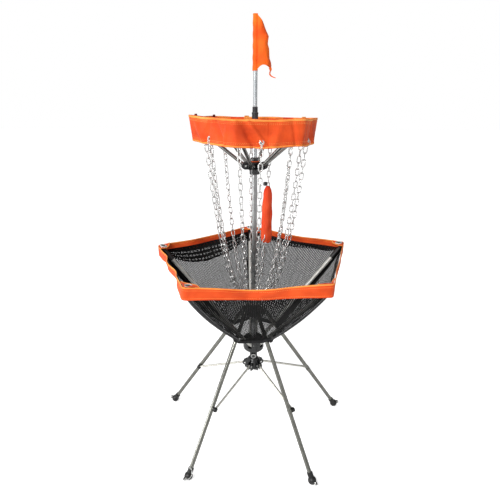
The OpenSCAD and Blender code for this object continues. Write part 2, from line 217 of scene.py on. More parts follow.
ALUMINIUM = metal("aluminium", (0.30, 0.305, 0.305), (0.44, 0.445, 0.445), 0.22)
# Painted light: a lighter copy of the aluminium, so that the upper pole and the flag pole look more brightly
# lit
PAINTED_LIGHT_POLE_TUBE = metal("painted_light_pole_tube", (0.54, 0.57, 0.59), (0.70, 0.73, 0.75), 0.2)
LEG_TUBE = metal("leg_tube", (0.19, 0.19, 0.170), (0.27, 0.27, 0.245), 0.14, wear=0.06)
# Painted light: a paler, less metallic copy of the tube metal, so that the basket arms look lit inside the
# dark basket
PAINTED_LIGHT_ARM_TUBE = metal("arm_tube", (0.54, 0.54, 0.50), (0.68, 0.68, 0.64), 0.3, metallic=0.35)
TOP_TUBE = metal("top_arm_tube", (0.24, 0.24, 0.23), (0.36, 0.36, 0.345), 0.2, wear=0.1)
ROD = metal("strut_rod", (0.58, 0.57, 0.52), (0.74, 0.73, 0.67), 0.24, metallic=0.8)
RIVET = metal("rivet", (0.80, 0.80, 0.78), (0.92, 0.92, 0.90), 0.16, wear=0.1, metallic=0.7)
ZINC = metal("zinc", (0.58, 0.58, 0.57), (0.82, 0.82, 0.81), 0.16, grain=120, wear=0.14, metallic=0.85)
BUTTON = metal("button", (0.34, 0.34, 0.34), (0.50, 0.50, 0.49), 0.2)
HUB = plastic("hub_plastic", (0.008, 0.009, 0.010), (0.016, 0.017, 0.018), 0.24, coat=0.3)
CLAMP = plastic("clamp_plastic", (0.018, 0.020, 0.024), (0.032, 0.034, 0.040), 0.42)
FOOT = plastic("foot_plastic", (0.007, 0.007, 0.007), (0.014, 0.014, 0.014), 0.3, grain=500, depth=0.0002)
NYLON = cloth("orange_nylon", (0.60, 0.050, 0.005), (0.77, 0.078, 0.009), (0.90, 0.110, 0.016))
BINDING = cloth("binding_tape", (0.80, 0.20, 0.03), (0.94, 0.30, 0.055), (1.0, 0.42, 0.10), pitch=0.0016)
POUCH = cloth("pouch_nylon", (0.82, 0.050, 0.010), (0.98, 0.080, 0.020), (1.0, 0.11, 0.03), pitch=0.0011)
FLAG = cloth("flag_nylon", (0.84, 0.085, 0.004), (0.96, 0.125, 0.006), (1.0, 0.18, 0.010), pitch=0.0009)
THREAD = cloth("stitch_thread", (0.88, 0.26, 0.05), (0.97, 0.36, 0.09), (1.0, 0.46, 0.15), pitch=0.0005)
WHITE_THREAD = cloth("white_thread", (0.30, 0.30, 0.30), (0.46, 0.46, 0.46), (0.60, 0.60, 0.59), pitch=0.0005)
MESH = see_through_mesh("basket_mesh_cloth", 0.0104, 0.76)
# Painted shade: a dark red copy of the orange tape, for tie ends that stand in the band's shadow
PAINTED_SHADE_TAPE = cloth("shaded_tape", (0.12, 0.010, 0.008), (0.20, 0.014, 0.010), (0.30, 0.02, 0.014), pitch=0.0016)
TAPE = cloth("black_tape", (0.006, 0.006, 0.007), (0.010, 0.010, 0.011), (0.017, 0.017, 0.018), 0.0016, 0)
ORANGE_CORD = cloth("orange_cord", (0.80, 0.09, 0.02), (0.92, 0.14, 0.03), (1.0, 0.2, 0.05), pitch=0.002)

# Material of each CAD node, by its name or, for numbered nodes, by its name without the number; the upper
# pole, the flag pole and the basket arms get copies with painted light
NODE_MATERIAL = {
    "main_pole": ALUMINIUM, "upper_pole": PAINTED_LIGHT_POLE_TUBE, "flag_pole": PAINTED_LIGHT_POLE_TUBE,
    "leg": LEG_TUBE, "leg_clip": LEG_TUBE, "strut": ROD, "basket_arm": PAINTED_LIGHT_ARM_TUBE, "top_arm": TOP_TUBE,
    "base_hub": HUB, "basket_hub": HUB, "crown": HUB, "top_hub": HUB,
    "hub_rivets": RIVET, "crown_rivets": RIVET, "top_hub_rivets": RIVET, "release_button": BUTTON,
    "clamp_base": CLAMP, "clamp_nut": CLAMP, "foot": FOOT, "arm_cap": FOOT,
    "chain_ring": ZINC, "stake_ring": RIVET, "release_loop": ORANGE_CORD,
}


def set_cad_node_materials():
    for name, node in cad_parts.items():
        kind = name.rstrip("0123456789").rstrip("_")
        material = NODE_MATERIAL.get(name) or NODE_MATERIAL.get(kind)
        if material is None:
            continue
        for material_slot in node.material_slots:
            material_slot.material = material


set_cad_node_materials()


# ---- Mesh helpers ----
SHARP = math.radians(50)


def add_mesh(name, points, faces, material, uvs=None, smooth=True):
    """uvs, if given, has one pair in metres for each point."""
    mesh = bpy.data.meshes.new(name)
    mesh.from_pydata([tuple(p) for p in points], [], faces)
    mesh.materials.append(material)
    layer = mesh.uv_layers.new(name="UVMap")
    if uvs is not None:
        corner_points = np.empty(len(mesh.loops), int)
        mesh.loops.foreach_get("vertex_index", corner_points)
        layer.data.foreach_set("uv", np.asarray(uvs, np.float32)[corner_points].ravel())
    mesh.polygons.foreach_set("use_smooth", [smooth] * len(mesh.polygons))
    mesh.update()
    mesh.set_sharp_from_angle(angle=SHARP)
    obj = bpy.data.objects.new(name, mesh)
    bpy.context.collection.objects.link(obj)
    return obj


def apply_modifiers(obj):
    graph = bpy.context.evaluated_depsgraph_get()
    mesh = bpy.data.meshes.new_from_object(obj.evaluated_get(graph))
    obj.modifiers.clear()
    obj.data = mesh
    mesh.set_sharp_from_angle(angle=SHARP)
    return obj


def thicken(obj, thickness):
    """Gives a sheet its thickness, half on each side."""
    solid = obj.modifiers.new("thickness", "SOLIDIFY")
    solid.thickness, solid.offset = thickness, 0.0
    return apply_modifiers(obj)


def run_lengths(path):
    """Distance along a path at each of its points."""
    return np.concatenate([[0], np.cumsum([(b - a).length for a, b in zip(path, path[1:])])])


def surface(name, point, across, down, material, thickness=0.0):
    """A sheet through point(a, b) for each a of across and b of down. Its UV is the distance along it."""
    rows = [[Vector(point(a, b)) for a in across] for b in down]
    points = [p for row in rows for p in row]
    n = len(across)
    faces = [
        (j * n + i, j * n + i + 1, (j + 1) * n + i + 1, (j + 1) * n + i)
        for j in range(len(down) - 1) for i in range(n - 1)
    ]
    run = run_lengths(rows[len(down) // 2])
    drop = run_lengths([row[n // 2] for row in rows])
    uvs = [(run[i], drop[j]) for j in range(len(down)) for i in range(n)]
    obj = add_mesh(name, points, faces, material, uvs)
    return thicken(obj, thickness) if thickness else obj


def tube_faces(rings, sides, closed=False):
    """Outward faces of a tube whose rings run clockwise, seen from its far end. An open tube gets ends."""
    faces = []
    for k in range(rings if closed else rings - 1):
        here, ahead = k * sides, (k + 1) % rings * sides
        for j in range(sides):
            after = (j + 1) % sides
            faces.append((here + j, ahead + j, ahead + after, here + after))
    if not closed:
        faces += [tuple(range(sides)), tuple(range((rings - 1) * sides, rings * sides))[::-1]]
    return faces


def sweep(name, path, profile, material, closed=False, up=None):
    """Profile points (side, height) carried along the path; up gives each point's height direction."""
    path = [Vector(p) for p in path]
    count, sides = len(path), len(profile)
    points, uvs, run = [], [], 0.0
    around = np.concatenate([[0], np.cumsum([math.dist(a, b) for a, b in zip(profile, profile[1:])])])
    previous = None
    for k, p in enumerate(path):
        ahead = path[(k + 1) % count] if closed or k + 1 < count else p
        behind = path[k - 1] if closed or k > 0 else p
        tangent = (ahead - behind).normalized()
        if up is not None:
            height = Vector(up[k])
        elif previous is None:
            height = tangent.orthogonal()
        else:
            height = previous
        height = (height - height.dot(tangent) * tangent).normalized()
        previous = height
        side = tangent.cross(height)
        run += (p - path[k - 1]).length if k else 0.0
        for (x, y), s in zip(profile, around):
            points.append(p + side * x + height * y)
            uvs.append((run, s))
    return add_mesh(name, points, tube_faces(count, sides, closed), material, uvs)


def oval(width, height, sides=10):
    return [
        (width / 2 * math.cos(2 * math.pi * k / sides), height / 2 * math.sin(2 * math.pi * k / sides))
        for k in range(sides)
    ]


def merge(name, pieces):
    """One object from several, which keeps their materials and UVs."""
    bpy.ops.object.select_all(action="DESELECT")
    for p in pieces:
        p.select_set(True)
    bpy.context.view_layer.objects.active = pieces[0]
    bpy.ops.object.join()
    pieces[0].name = name
    return pieces[0]


def stitches(name, path, up, material, pitch=0.006, size=0.0010):
    """A row of short raised threads along a path; up is the surface's outward direction at each point."""
    path = [Vector(p) for p in path]
    lengths = run_lengths(path)
    points, faces = [], []
    for start in np.arange(0, lengths[-1] - pitch, pitch):
        k = int(np.searchsorted(lengths, start + pitch * 0.3, side="right")) - 1
        k = min(max(k, 0), len(path) - 2)
        share = (start + pitch * 0.3 - lengths[k]) / max(lengths[k + 1] - lengths[k], 1e-9)
        centre = path[k].lerp(path[k + 1], share)
        along = (path[k + 1] - path[k]).normalized()
        out = Vector(up[k]).normalized()
        side = along.cross(out)
        base = len(points)
        for end, scale in ((-0.32, 0.35), (-0.2, 1.0), (0.2, 1.0), (0.32, 0.35)):
            for x, y in ((-1, 0), (0, 1), (1, 0), (0, -1)):
                points.append(centre + along * end * pitch + (side * x + out * y) * size * scale / 2)
        for ring in range(3):
            for j in range(4):
                a, b = base + ring * 4 + j, base + ring * 4 + (j + 1) % 4
                faces.append((a, b, b + 4, a + 4))
        faces += [(base + 3, base + 2, base + 1, base), (base + 12, base + 13, base + 14, base + 15)]
    return add_mesh(name, points, faces, material)


def ring_shape(name, centre, axis, radius, wire, material, flat=1.0, sides=32):
    """A grommet or ring about an axis; flat below 1 presses its wire thinner along the axis."""
    axis = Vector(axis).normalized()
    a = axis.orthogonal().normalized()
    b = axis.cross(a)
    turns = np.linspace(0, 2 * math.pi, sides, endpoint=False)
    path = [centre + (a * math.cos(t) + b * math.sin(t)) * radius for t in turns]
    return sweep(name, path, oval(2 * wire, 2 * wire * flat), material, closed=True, up=[axis] * sides)


def lathe(name, centre, axis, profile, material, sides=28, start=None):
    """A turned piece; profile has (distance along the axis, radius) pairs, start points at its side 0."""
    axis = Vector(axis).normalized()
    a = start or axis.orthogonal().normalized()
    b = a.cross(axis)
    points = [
        centre + axis * h + (a * math.cos(t) + b * math.sin(t)) * r
        for h, r in profile for t in np.linspace(0, 2 * math.pi, sides, endpoint=False)
    ]
    return add_mesh(name, points, tube_faces(len(profile), sides), material)


# ---- Rim of the basket ----
# Steps from each corner to the middle of its sides, for the rim, the mesh and the band
SIDE_STEPS = 34
# Rounding of the corners along the side, for the rim, the mesh at both ends, and the band
RIM_ROUND, MESH_ROUND, MESH_LOW_ROUND, BAND_ROUND = 0.014, 0.016, 0.012, 0.016


def polygon_point(side_index, corner_r, count, first_az, corner_round):
    """Point and outward direction on a rounded polygon; whole numbers of side_index are its corners."""
    k = math.floor(side_index)
    a = radial(first_az + k * 360 / count) * corner_r
    b = radial(first_az + (k + 1) * 360 / count) * corner_r
    length = (b - a).length
    f = (side_index - k) * length
    normal = radial(first_az + (k + 0.5) * 360 / count)
    if corner_round < f < length - corner_round:
        return a.lerp(b, f / length), normal
    at_first = f <= corner_round
    corner = a if at_first else b
    arrive = corner_round * (f / corner_round if at_first else -(length - f) / corner_round)
    t = (arrive / corner_round + 1) / 2
    ahead = radial(first_az + (k + (1 if at_first else 2)) * 360 / count) * corner_r
    behind = radial(first_az + (k - (1 if at_first else 0)) * 360 / count) * corner_r
    p = corner + (behind - corner).normalized() * corner_round
    q = corner + (ahead - corner).normalized() * corner_round
    point = p * (1 - t) ** 2 + corner * (2 * t * (1 - t)) + q * t * t
    turn = 360 / count * (t - 0.5)
    corner_az = first_az + (k if at_first else k + 1) * 360 / count
    return point, radial(corner_az + turn)


def corner_shares(i, reach=0.0):
    """Side shares from half a side before corner i to half a side after it, and on by reach."""
    spread = np.linspace(-1, 1, 2 * SIDE_STEPS + 1)
    shares = np.sign(spread) * np.abs(spread) ** 1.5 * 0.5
    if reach:
        shares = np.concatenate([shares, 0.5 + np.linspace(reach / 10, reach, 10)])
    return i + shares


LEFT_SIDE, BACK_LEFT_SIDE = 4, 3


def rim_wave(s):
    """(outward, upward) shift of the rim's cloth at side share s, most of it on the wavy left side."""
    s = s % BASE_ARMS
    side, f = math.floor(s), s - math.floor(s)
    bow = math.sin(math.pi * f) ** 2
    out = -0.004 * bow + 0.0022 * math.sin(4.2 * s + 1.1) * bow + 0.0014 * math.sin(13.1 * s) * bow
    up = 0.0012 * math.sin(9.3 * s + 0.4) * bow
    if side == LEFT_SIDE:
        out += 0.0075 * math.sin(5.2 * math.pi * f + 0.4) * bow
        up += 0.0045 * math.sin(4.3 * math.pi * f + 2.2) * bow
    return out, up


# How far each corner holds the cloth above its nominal height, and how far each side then sags
TOP_LIFT, TOP_SAG = (0.010, 0.015, 0.011, 0.009, 0.004), (0.0150, 0.010, 0.007, 0.006, 0.005)
LOW_LIFT, LOW_SAG = (0.009, 0.007, 0.009, 0.009, 0.003), (0.0055, 0.004, 0.004, 0.003, -0.008)
# How far out each corner of the cloth stands from its arm, at the top edge and at the lower edge
TOP_REACH, LOW_REACH = (0.003, 0, 0, 0, 0.008), (0.012, 0.002, 0.002, 0.002, 0.010)


def rim_height(s, v):
    side, f = math.floor(s) % BASE_ARMS, s - math.floor(s)
    bow = math.sin(math.pi * f) ** 2
    after = (side + 1) % BASE_ARMS
    top = RIM_TOP - 0.001 + (1 - f) * TOP_LIFT[side] + f * TOP_LIFT[after] - TOP_SAG[side] * bow
    low = RIM_TOP - RIM_HEIGHT + (1 - f) * LOW_LIFT[side] + f * LOW_LIFT[after] - LOW_SAG[side] * bow
    return top + (low - top) * v


def rim_point(s, v, off=0.0):
    """v is 0 at the rim's top edge and 1 at its lower edge; off moves the point outward."""
    point, normal = polygon_point(s, RIM_CORNER_R, BASE_ARMS, RIM_AZ, RIM_ROUND)
    out, up = rim_wave(s)
    corner = round(s) % BASE_ARMS
    near_corner = (1 - 2 * abs(s - round(s))) ** 2
    pull = -0.003 * v * v + near_corner * (TOP_REACH[corner] + (LOW_REACH[corner] - TOP_REACH[corner]) * v)
    bow = math.sin(math.pi * (s - math.floor(s))) ** 2
    ripple = 0.0034 * math.sin(23 * (s % BASE_ARMS) + 2.6 * v) * math.sin(math.pi * v) * bow
    return point + normal * (out + pull + ripple + off - 0.0012) + Vector((0, 0, rim_height(s, v) + up))


def fold_with_basket(obj, i):
    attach(obj, f"basket_arm_{i + 1}")
    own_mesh(obj)


# Rows of stitches: share of the rim's height, and distance out from the middle of the cloth
RIM_ROWS = ((0.24, 0.0009), (0.86, 0.0009), (0.93, 0.0009), (0.24, -0.0009), (0.86, -0.0009))


def make_rim(i):
    n = i + 1
    shares = corner_shares(i)
    band = surface(f"rim_cloth_{n}", rim_point, shares, np.linspace(0, 1, 9), NYLON, 0.0016)
    normals = [polygon_point(s, RIM_CORNER_R, BASE_ARMS, RIM_AZ, RIM_ROUND)[1] for s in shares]
    up = [Vector((0, 0, 1))] * len(shares)
    edge_line = [rim_point(s, 0.05) for s in shares]
    edge = sweep(f"rim_binding_{n}", edge_line, oval(0.0036, 0.0056), BINDING, up=up)
    rows = merge(f"rim_stitches_{n}", [
        stitches(f"rim_row_{n}_{k}", [rim_point(s, v, off) for s in shares], normals, THREAD)
        for k, (v, off) in enumerate(RIM_ROWS)
    ])
    lower = sweep(f"rim_hem_{n}", [rim_point(s, 0.93) for s in shares], oval(0.0030, 0.0075), NYLON, up=up)
    parts = [edge, rows, lower]
    if i == 0:
        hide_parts("rim_band")
    for piece in [band, *parts]:
        fold_with_basket(piece, i)


for i in range(BASE_ARMS):
    make_rim(i)


# ---- Corner tabs of the rim, with a grommet over each arm's end ----
TAB_SIDE = 0.048
# How far each tab's inner edge hangs down
TAB_DIP = (0.004, 0.030, 0.006, 0.006, 0.005)


def tab_point(i, a, b):
    """a runs from one side of the corner to the other, b from the corner to the tab's inner edge."""
    azimuth = RIM_AZ + BASE_STEP * i
    half_turn = 90 + BASE_STEP / 2
    corner = radial(azimuth) * (RIM_CORNER_R - 0.005 + TOP_REACH[i])
    along = radial(azimuth - half_turn).lerp(radial(azimuth + half_turn), a)
    bulge = 1 + 0.35 * math.sin(math.pi * a)
    dip = -TAB_DIP[i] * b * b * math.sin(math.pi * a) + 0.0015 * math.sin(7 * a + 3 * b + i)
    return corner + along * b * TAB_SIDE * bulge + Vector((0, 0, rim_height(i, 0) + 0.0006 + dip))


def make_tab(i):
    n = i + 1
    across, down = np.linspace(0, 1, 17), np.linspace(0.02, 1, 12)
    tab = surface(f"rim_tab_{n}", lambda a, b: tab_point(i, a, b), across, down, NYLON, 0.0014)
    edge = [tab_point(i, a, 1.0) for a in np.linspace(0, 1, 25)]
    piping = sweep(f"rim_tab_edge_{n}", edge, oval(0.0046, 0.0046), BINDING)
    middle = tab_point(i, 0.5, 0.56) + Vector((0, 0, 0.0004))
    slope = tab_point(i, 0.5, 0.7) - tab_point(i, 0.5, 0.4)
    tilt = slope.cross(sideways(RIM_AZ + BASE_STEP * i)).normalized()
    tilt = tilt if tilt.z > 0 else -tilt
    grommet = ring_shape(f"rim_grommet_{n}", middle, tilt, 0.0120, 0.0036, RIVET, flat=0.6)
    under = middle - tilt * 0.0002
    plug = ring_shape(f"rim_grommet_plug_{n}", under, tilt, 0.0048, 0.0048, LEG_TUBE, flat=0.4, sides=24)
    for piece in (tab, piping, grommet, plug):
        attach(piece, f"basket_arm_{n}")


for i in range(BASE_ARMS):
    make_tab(i)


# ---- Mesh funnel ----
# Depth of the notch over each leg, as a share of the slant
LEG_NOTCH = 0.045
# How far the seam at each corner, and the middle of each side, bow outward from the straight line down
CORNER_BOW = (0.016, 0.012, 0.006, 0.006, 0.010)
SIDE_BOW = (-0.010, -0.010, -0.008, -0.008, 0.016)


def low_end(s):
    """Share of the full slant that the mesh reaches at side share s: it is notched over each leg."""
    past_corner = (s - round(s)) * 2 * MESH_LOW_R * math.sin(math.pi / BASE_ARMS)
    return 1 - LEG_NOTCH * math.exp(-(((past_corner + 0.020) / 0.0125) ** 4))


def mesh_point(s, v, off=0.0):
    """v is 0 at the rim and 1 at the open lower edge."""
    v *= 1 - (1 - low_end(s)) * v ** 6
    top, normal = polygon_point(s, RIM_CORNER_R - 0.006, BASE_ARMS, RIM_AZ, MESH_ROUND)
    out, up = rim_wave(s)
    side, corner = math.floor(s) % BASE_ARMS, round(s) % BASE_ARMS
    reach = (1 - 2 * abs(s - round(s))) ** 2 * (TOP_REACH[corner] + LOW_REACH[corner]) / 2
    top = top + normal * (out + reach - 0.002) + Vector((0, 0, rim_height(s, 0.62) + up))
    low = polygon_point(s, MESH_LOW_R, BASE_ARMS, RIM_AZ, MESH_LOW_ROUND)[0] + Vector((0, 0, MESH_LOW_Z))
    f = s - math.floor(s)
    slack = math.sin(math.pi * f) ** 2 * math.sin(math.pi * v)
    facing = (normal * 0.72 - Vector((0, 0, 0.69))).normalized()
    before, after = CORNER_BOW[side], CORNER_BOW[(side + 1) % BASE_ARMS]
    bow = (before + (after - before) * f) * math.sin(math.pi * v ** 0.85)
    gather = 0.0022 * math.sin(2 * math.pi * 9 * s) * v ** 3 * (1 - v) * 6
    creases = 0.0035 * math.sin(3 * math.pi * (s % BASE_ARMS) + 9 * v) * slack
    return top.lerp(low, v) + facing * (off + bow + SIDE_BOW[side] * slack + gather + creases)


def hem_depth(s):
    """Share of the panel that the turned-in edge covers: more, and slanting, on the back left side."""
    side, f = math.floor(s) % BASE_ARMS, s - math.floor(s)
    if side == BACK_LEFT_SIDE:
        return 0.05 + 0.22 * math.sin(math.pi * min(f * 1.05, 1)) ** 0.5 * (0.45 + 0.55 * f)
    return 0.05 + 0.02 * math.sin(math.pi * f)


def make_mesh_panel(i):
    n = i + 1
    shares = corner_shares(i)
    out = radial(RIM_AZ + BASE_STEP * i)

    def hem_point(s, v):
        return mesh_point(s, v * hem_depth(s), -0.0016)

    def tape_point(a, v):
        """A tape over the corner's seam, a little wider at its lower end; a runs across it from -1 to 1."""
        panel_width = 0.48 * (1 - 0.73 * v)
        return mesh_point(i + a * (0.0150 + 0.006 * v) / panel_width, v, 0.0012)

    def tape_row(k, a):
        row = [tape_point(a, v) + out * 0.001 for v in np.linspace(0.04, 0.97, 60)]
        return stitches(f"tape_row_{n}_{k}", row, [out] * 60, WHITE_THREAD, pitch=0.008, size=0.0013)

    cloth_panel = surface(f"basket_cloth_{n}", mesh_point, shares, np.linspace(0, 1, 25), MESH)
    double = surface(f"basket_hem_{n}", hem_point, shares, np.linspace(0, 1, 5), MESH)
    across, down = np.linspace(-1, 1, 9), np.linspace(0.02, 0.99, 40)
    tape = surface(f"basket_tape_{n}", tape_point, across, down, TAPE, 0.0008)
    rows = merge(f"basket_tape_stitches_{n}", [tape_row(k, a) for k, a in enumerate((-0.75, 0.75))])
    low_edge = [mesh_point(s, 0.985, 0.0006) for s in shares]
    low_up = [Vector((0, 0, 1))] * len(shares)
    edge = sweep(f"basket_low_edge_{n}", low_edge, oval(0.0064, 0.018), TAPE, up=low_up)
    parts = [double, tape, rows, edge]
    if i == 0:
        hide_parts("basket_mesh")
    for piece in [cloth_panel, *parts]:
        fold_with_basket(piece, i)


for i in range(BASE_ARMS):
    make_mesh_panel(i)


# ---- Chain support band ----
def crease(f, v, middle, lean, width, depth):
    """A soft fold that crosses a face at share middle, leaning by lean from its top to its lower edge."""
    d = (f - middle - lean * (v - 0.5)) / width
    return depth * math.exp(-d * d)


# Share of a side that each piece runs on behind its neighbour, so that no gap opens when the arms fold
BAND_UNDERLAP = 0.22
# Creases of each side, as (middle, lean, width, depth); all depths are taken CREASE_DEPTH times
CREASE_DEPTH = 2.8
FACE_CREASES = {
    0: [(0.20, 0.22, 0.050, -0.0050), (0.33, 0.30, 0.035, 0.0035),
        (0.62, -0.12, 0.07, 0.0030), (0.86, 0.10, 0.03, -0.0030)],
    5: [(0.24, 0.18, 0.06, 0.0030), (0.45, -0.20, 0.05, -0.0032),
        (0.70, 0.16, 0.05, -0.0034), (0.86, -0.12, 0.04, 0.003)],
    1: [(0.2, 0.1, 0.05, -0.003), (0.6, 0.2, 0.08, 0.003)],
    2: [(0.35, -0.2, 0.06, 0.003), (0.7, 0.15, 0.05, -0.003)],
    3: [(0.25, 0.15, 0.05, -0.003), (0.65, -0.15, 0.07, 0.003)],
    4: [(0.4, 0.2, 0.06, 0.003), (0.75, -0.1, 0.05, -0.003)],
}
# How far each corner holds the band above its nominal height
BAND_LIFT = (0.001, 0.002, 0.001, 0.002, 0.005, 0.011)


def band_point(s, v, off=0.0):
    """v is 0 at the band's top edge and 1 at its lower edge."""
    corner_r = BAND_TOP_R + (BAND_LOW_R - BAND_TOP_R) * v
    point, normal = polygon_point(s, corner_r, TOP_ARMS, TOP_AZ, BAND_ROUND)
    s = s % TOP_ARMS
    side, f = math.floor(s), s - math.floor(s)
    bow = math.sin(math.pi * f) ** 2
    folds = CREASE_DEPTH * sum(crease(f, v, *c) for c in FACE_CREASES[side]) * min(1, 5 * min(f, 1 - f))
    slack = 0.003 * math.sin(7.1 * s + 2 * v) * bow
    slack += 0.0045 * (v - 0.3) * math.sin(2 * math.pi * f) * math.cos(2 * side)
    down = v * (BAND_HEIGHT - 0.003) + 0.003 * bow * v + 0.002 * math.sin(5.3 * s + 1) * v * bow
    after = (side + 1) % TOP_ARMS
    lift = (1 - f) * BAND_LIFT[side] + f * BAND_LIFT[after] + 0.0008 * math.sin(8.1 * s) * bow - 0.002 * bow
    out = folds * min(1, 0.35 + 0.9 * v) + slack - 0.002 * bow - 0.0014 + off
    return point + normal * out + Vector((0, 0, BAND_TOP - 0.0015 + lift - down))


# How far each grommet sits off its nominal azimuth
GROMMET_SHIFT = (-1.0, 4.0, 3.0, -2.0, 0.0, 2.0)
GROMMET_DROP = 0.78


def outer_chain_azimuth(i):
    return OUTER_CHAIN_AZ + TOP_STEP * i + GROMMET_SHIFT[i]


def side_azimuth(i):
    """The way that the band's side after corner i faces."""
    return TOP_AZ + TOP_STEP / 2 + TOP_STEP * i


def grommet_share(i):
    past_middle = math.radians(outer_chain_azimuth(i) - side_azimuth(i))
    return i + 0.5 + math.tan(past_middle) / (2 * math.tan(math.radians(TOP_STEP / 2)))


def grommet_centre(i):
    return band_point(grommet_share(i), GROMMET_DROP)


def fold_with_band(obj, i):
    i %= TOP_ARMS
    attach(obj, f"top_arm_{i + 1}")
    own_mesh(obj)


# Ends of the ties that stand up behind the band's top edge: side share and material. The two dark red ends
# are painted shade, for ties that stand in the band's shadow.
TONGUES = ((1.0, BINDING), (3.45, BINDING), (4.06, PAINTED_SHADE_TAPE), (4.78, PAINTED_SHADE_TAPE))


def make_tongue(k, share, material):
    base, normal = polygon_point(share, BAND_TOP_R - 0.0055, TOP_ARMS, TOP_AZ, BAND_ROUND)
    base = base + Vector((0, 0, band_point(share, 0).z - 0.010))
    along = Vector((-normal.y, normal.x, 0))

    def tongue_point(a, b):
        return base - normal * 0.003 * b + along * a * 0.011 * (1 - 0.25 * b * b) + Vector((0, 0, 0.0145 * b))

    across, down = np.linspace(-1, 1, 9), np.linspace(0, 1, 7)
    return surface(f"band_tongue_{k + 1}", tongue_point, across, down, material, 0.0024)


# Rows of stitches, as shares of the band's height
BAND_ROWS = (0.13, 0.18, 0.83, 0.88)


def make_band(i):
    n = i + 1
    shares = corner_shares(i)
    normals = [polygon_point(s, BAND_TOP_R, TOP_ARMS, TOP_AZ, BAND_ROUND)[1] for s in shares]
    up = [Vector((0, 0, 1))] * len(shares)

    def cloth_point(s, v):
        """The band, stepping in behind its neighbour over the underlap."""
        return band_point(s, v, -0.0019 * min(1, max(0, s - i - 0.49) / 0.02))

    def binding(name, v, profile):
        return sweep(f"band_binding_{name}_{n}", [band_point(s, v) for s in shares], profile, BINDING, up=up)

    reach = corner_shares(i, BAND_UNDERLAP)
    band = surface(f"band_cloth_{n}", cloth_point, reach, np.linspace(0, 1, 19), NYLON, 0.0015)
    top = binding("top", 0.045, oval(0.0036, 0.0075))
    low = binding("low", 0.955, oval(0.0034, 0.0068))
    lines = [[band_point(s, v, 0.0009) for s in shares] for v in BAND_ROWS]
    rows = [stitches(f"band_row_{n}_{k}", line, normals, THREAD, size=0.0012) for k, line in enumerate(lines)]
    rows = merge(f"band_stitches_{n}", rows)
    facing = radial(side_azimuth(i))
    half_gap = radial(outer_chain_azimuth(i)) * 0.0012
    front, back = grommet_centre(i) + half_gap, grommet_centre(i) - half_gap
    grommet = ring_shape(f"band_grommet_{n}", front, facing, 0.0062, 0.0024, RIVET, flat=0.7)
    inner = ring_shape(f"band_grommet_back_{n}", back, facing, 0.0060, 0.0022, RIVET, flat=0.7)
    # Painted shade: a dark disc across the grommet's hole, in place of the shade seen through it
    hole_shade = ring_shape(f"band_grommet_hole_shade_{n}", front, facing, 0.0021, 0.0022, HUB, flat=0.3)
    parts = [top, low, rows, grommet, inner, hole_shade]
    parts += [make_tongue(k, *tongue) for k, tongue in enumerate(TONGUES) if round(tongue[0]) == i]
    if i == 0:
        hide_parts("top_band")
    for piece in [band, *parts]:
        fold_with_band(piece, i)


for i in range(TOP_ARMS):
    make_band(i)


# ---- Chains ----
LINK_LENGTH, LINK_WIDTH, LINK_WIRE, LINK_PITCH = 0.0310, 0.0168, 0.0040, 0.0232
LINK_BEND_STEPS, LINK_SIDES = 10, 8
# Ends of the chains, as (distance out, height), and the knee that their curve bends toward
OUTER_END = (BAND_LOW_R * math.cos(math.radians(TOP_STEP / 2)) - 0.0070, 1.246)
INNER_END = (0.178, 1.248)
LOW_END = (0.045, 0.607)
KNEE_SHARE, KNEE_RISE = 0.72, 0.110
# The inner chain that the pouch hangs beside, the upright plane of the pouch, and that chain's azimuth
POUCH_CHAIN = 3
POUCH_PLANE = TOP_AZ + TOP_STEP * POUCH_CHAIN
POUCH_CHAIN_AZ = POUCH_PLANE - 3.5


def link_shape():
    """One link along X, flat in Y, as arrays of points and faces."""
    straight = LINK_LENGTH - LINK_WIDTH
    radius = (LINK_WIDTH - LINK_WIRE) / 2
    line = []
    for end in (1, -1):
        for t in np.linspace(-math.pi / 2, math.pi / 2, LINK_BEND_STEPS):
            line.append((end * (straight / 2 + radius * math.cos(t)), end * radius * math.sin(t)))
    points, count = [], len(line)
    for k, (x, y) in enumerate(line):
        ahead, behind = line[(k + 1) % count], line[k - 1]
        tangent = Vector((ahead[0] - behind[0], ahead[1] - behind[1], 0)).normalized()
        side = Vector((tangent.y, -tangent.x, 0))
        for j in range(LINK_SIDES):
            a = 2 * math.pi * j / LINK_SIDES
            out = side * math.cos(a) + Vector((0, 0, math.sin(a)))
            points.append(Vector((x, y, 0)) + out * LINK_WIRE / 2)
    return np.array([tuple(p) for p in points]), np.array(tube_faces(count, LINK_SIDES, closed=True))


LINK_POINTS, LINK_FACES = link_shape()


def add_links(name, points, faces):
    return add_mesh(name, points, [tuple(map(int, f)) for f in faces], ZINC)


def chain_line(azimuth, top):
    """Points down a chain from its hook to the ring on the crown."""
    knee = (KNEE_SHARE * top[0], LOW_END[1] + KNEE_RISE)
    for t in np.linspace(0, 1, 200):
        x, z = ((1 - t) ** 2 * top[k] + 2 * t * (1 - t) * knee[k] + t * t * LOW_END[k] for k in (0, 1))
        yield in_plane(azimuth, x, z)


